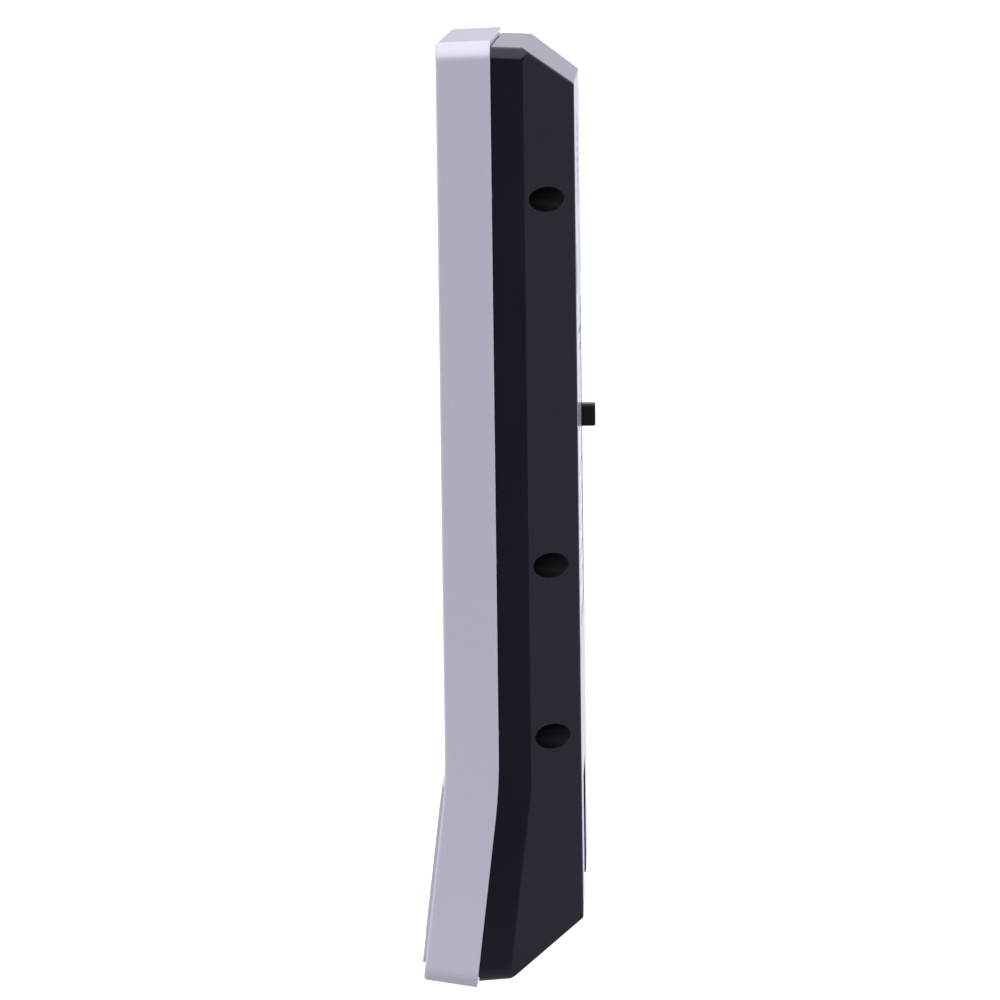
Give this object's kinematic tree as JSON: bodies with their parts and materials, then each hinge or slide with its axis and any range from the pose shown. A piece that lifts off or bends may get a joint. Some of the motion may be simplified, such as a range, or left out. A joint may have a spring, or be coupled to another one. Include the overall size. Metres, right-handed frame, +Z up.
{
  "type": "punch time clock",
  "caption": "Slim wall-mounted electronic time clock: silver front cover, black rear housing, keypad, display, fingerprint reader, keyhole mounts and cable recess.",
  "frame": {"origin": "midway between the round entry holes of the two wall keyholes, on the plane of the back face", "axes": "+Z up along the height, +Y out of the back towards the wall, -Y out of the front towards the user, +X across the width"},
  "size_m": [0.11, 0.0373, 0.1997],
  "materials": {
    "cover_silver": "satin silver paint on moulded plastic",
    "housing_black": "fine-textured black moulding",
    "panel_black": "polished black acrylic",
    "bezel_black": "satin black moulding",
    "window_clear": "clear tinted pane",
    "sensor_glass": "coated optical glass",
    "screen_dark": "liquid-crystal panel, off",
    "pressed_steel": "pressed sheet",
    "screw_steel": "zinc-plated",
    "key_plastic": "satin moulded key",
    "board_green": "solder-masked glass-fibre",
    "chip_black": "moulded chip package",
    "can_metal": "sleeved can",
    "contact_gold": "gold plated",
    "connector_white": "moulded connector",
    "foam_black": "closed-cell foam",
    "label_silver": "printed film, blank",
    "jack_black": "moulded socket",
    "relay_shell": "sealed relay case",
    "battery_wrap": "shrink-wrapped pack",
    "ribbon_white": "flat flexible cable",
    "plunger_black": "acetal",
    "guide_clear": "clear light guide"
  },
  "bodies": {
    "case": {"front_cover": "cover_silver", "front_panel": "panel_black", "display_window": "window_clear", "display_gasket": "foam_black", "display_screen": "screen_dark", "display_module": "pressed_steel", "keypad_board": "board_green", "keypad_domes": "pressed_steel", "keypad_screws": "screw_steel", "light_guide": "guide_clear", "status_board": "board_green", "sensor_bezel": "bezel_black", "fingerprint_window": "sensor_glass", "sensor_housing": "chip_black", "sensor_prism": "sensor_glass", "sensor_board": "board_green", "rear_housing": "housing_black", "housing_screws": "screw_steel", "rear_label": "label_silver", "main_board": "board_green", "board_screws": "screw_steel", "board_chips": "chip_black", "board_capacitors": "can_metal", "board_connectors": "connector_white", "door_relay": "relay_shell", "buzzer": "chip_black", "speaker": "pressed_steel", "speaker_seal": "foam_black", "backup_battery": "battery_wrap", "antenna_board": "board_green", "antenna_pads": "foam_black", "network_jack": "jack_black", "network_contacts": "contact_gold", "power_jack": "jack_black", "power_pin": "contact_gold", "usb_port": "pressed_steel", "usb_tongue": "connector_white", "usb_board": "board_green", "usb_screws": "screw_steel", "tamper_spring": "screw_steel", "tamper_switch": "chip_black", "ribbon_cables": "ribbon_white"},
    "key_1": {"key_1": "key_plastic"},
    "key_2": {"key_2": "key_plastic"},
    "key_3": {"key_3": "key_plastic"},
    "key_escape": {"key_escape": "key_plastic"},
    "key_4": {"key_4": "key_plastic"},
    "key_5": {"key_5": "key_plastic"},
    "key_6": {"key_6": "key_plastic"},
    "key_up": {"key_up": "key_plastic"},
    "key_7": {"key_7": "key_plastic"},
    "key_8": {"key_8": "key_plastic"},
    "key_9": {"key_9": "key_plastic"},
    "key_down": {"key_down": "key_plastic"},
    "key_menu": {"key_menu": "key_plastic"},
    "key_0": {"key_0": "key_plastic"},
    "key_power": {"key_power": "key_plastic"},
    "key_ok": {"key_ok": "key_plastic"},
    "tamper_plunger": {"tamper_plunger": "plunger_black"}
  },
  "joints": [
    {"name": "key_1_press", "type": "slide", "parent": "case", "child": "key_1", "axis": [0, 1, 0], "range_m": [0, 0.0006], "stiffness_N_per_m": 900},
    {"name": "key_2_press", "type": "slide", "parent": "case", "child": "key_2", "axis": [0, 1, 0], "range_m": [0, 0.0006], "stiffness_N_per_m": 900},
    {"name": "key_3_press", "type": "slide", "parent": "case", "child": "key_3", "axis": [0, 1, 0], "range_m": [0, 0.0006], "stiffness_N_per_m": 900},
    {"name": "key_escape_press", "type": "slide", "parent": "case", "child": "key_escape", "axis": [0, 1, 0], "range_m": [0, 0.0006], "stiffness_N_per_m": 900},
    {"name": "key_4_press", "type": "slide", "parent": "case", "child": "key_4", "axis": [0, 1, 0], "range_m": [0, 0.0006], "stiffness_N_per_m": 900},
    {"name": "key_5_press", "type": "slide", "parent": "case", "child": "key_5", "axis": [0, 1, 0], "range_m": [0, 0.0006], "stiffness_N_per_m": 900},
    {"name": "key_6_press", "type": "slide", "parent": "case", "child": "key_6", "axis": [0, 1, 0], "range_m": [0, 0.0006], "stiffness_N_per_m": 900},
    {"name": "key_up_press", "type": "slide", "parent": "case", "child": "key_up", "axis": [0, 1, 0], "range_m": [0, 0.0006], "stiffness_N_per_m": 900},
    {"name": "key_7_press", "type": "slide", "parent": "case", "child": "key_7", "axis": [0, 1, 0], "range_m": [0, 0.0006], "stiffness_N_per_m": 900},
    {"name": "key_8_press", "type": "slide", "parent": "case", "child": "key_8", "axis": [0, 1, 0], "range_m": [0, 0.0006], "stiffness_N_per_m": 900},
    {"name": "key_9_press", "type": "slide", "parent": "case", "child": "key_9", "axis": [0, 1, 0], "range_m": [0, 0.0006], "stiffness_N_per_m": 900},
    {"name": "key_down_press", "type": "slide", "parent": "case", "child": "key_down", "axis": [0, 1, 0], "range_m": [0, 0.0006], "stiffness_N_per_m": 900},
    {"name": "key_menu_press", "type": "slide", "parent": "case", "child": "key_menu", "axis": [0, 1, 0], "range_m": [0, 0.0006], "stiffness_N_per_m": 900},
    {"name": "key_0_press", "type": "slide", "parent": "case", "child": "key_0", "axis": [0, 1, 0], "range_m": [0, 0.0006], "stiffness_N_per_m": 900},
    {"name": "key_power_press", "type": "slide", "parent": "case", "child": "key_power", "axis": [0, 1, 0], "range_m": [0, 0.0006], "stiffness_N_per_m": 900},
    {"name": "key_ok_press", "type": "slide", "parent": "case", "child": "key_ok", "axis": [0, 1, 0], "range_m": [0, 0.0006], "stiffness_N_per_m": 900},
    {"name": "tamper_plunger_press", "type": "slide", "parent": "case", "child": "tamper_plunger", "axis": [0, -1, 0], "range_m": [0, 0.0028], "stiffness_N_per_m": 250, "deforming": ["tamper_spring"]}
  ]
}
